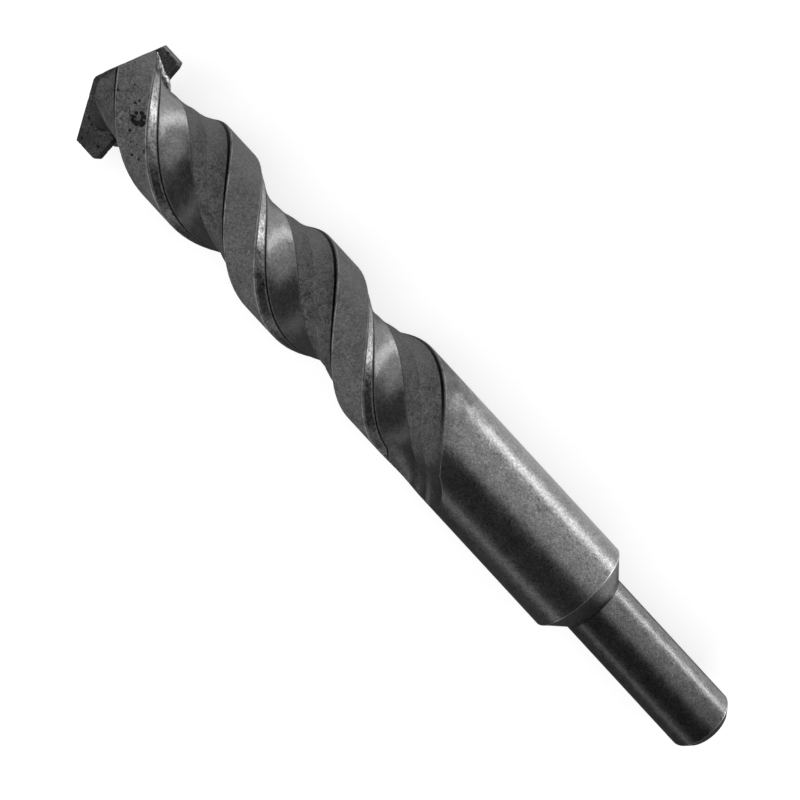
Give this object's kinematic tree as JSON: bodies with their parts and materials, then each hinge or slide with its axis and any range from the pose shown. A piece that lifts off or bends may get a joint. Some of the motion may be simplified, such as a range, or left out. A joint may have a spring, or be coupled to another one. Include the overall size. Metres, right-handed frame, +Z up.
{
  "type": "masonry drill bit",
  "caption": "Straight masonry drill bit with right-hand spiral flutes, a slotted head holding a brazed carbide plate, and a reduced cylindrical shank.",
  "frame": {"origin": "below the middle of the drill's length, on the surface that it lies on", "axes": "+X along the drill's axis towards the tip, +Z up from the surface, with the carbide plate nearly level"},
  "size_m": [0.162, 0.0238, 0.02],
  "materials": {
    "tool_steel": "satin grey heat treated steel with fine mottling and scuffs",
    "tungsten_carbide": "matte grey sintered carbide, pitted and a little worn at its edges",
    "braze": "dull silver braze with dark flux spots"
  },
  "bodies": {
    "root": {"steel_body": "tool_steel", "carbide_tip": "tungsten_carbide", "braze_filler": "braze"}
  },
  "joints": []
}
